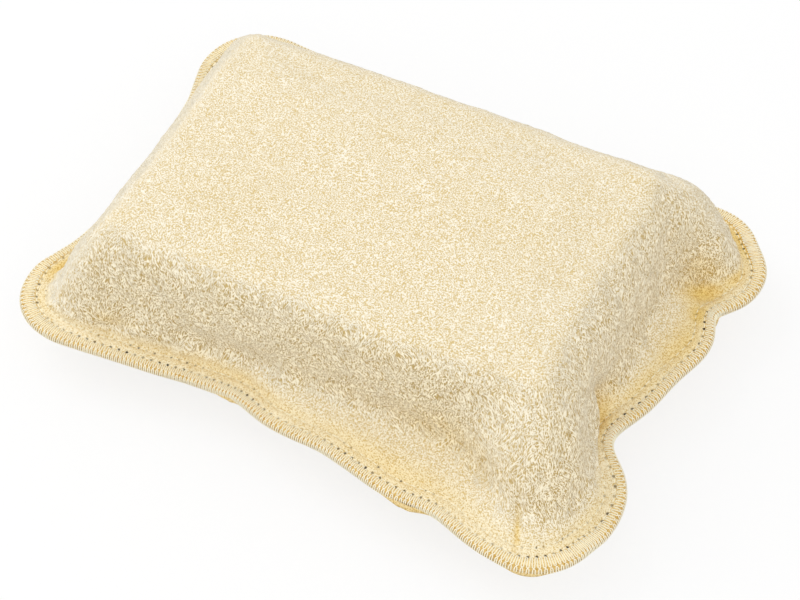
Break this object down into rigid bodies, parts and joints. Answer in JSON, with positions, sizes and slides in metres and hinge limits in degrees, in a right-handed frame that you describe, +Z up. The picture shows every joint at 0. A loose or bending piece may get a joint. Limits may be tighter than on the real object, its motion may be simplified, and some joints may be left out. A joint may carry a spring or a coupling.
{
  "type": "chamois sponge",
  "caption": "Soft cushion-shaped wiping sponge: a foam block sewn inside napped chamois panels, with an overlocked flange and rounded ears.",
  "frame": {"origin": "on the ground, under the middle of the overall box", "axes": "+X along the length, -Y towards the front, +Z up through the thickness"},
  "size_m": [0.16, 0.121, 0.046],
  "materials": {
    "chamois": "napped, matt, short soft fibres",
    "thread": "spun thread, matt",
    "foam": "open-cell foam, matt"
  },
  "bodies": {
    "root": {"foam_core": "foam", "upper_cover": "chamois", "lower_cover": "chamois", "overlock_stitching": "thread"}
  },
  "joints": []
}
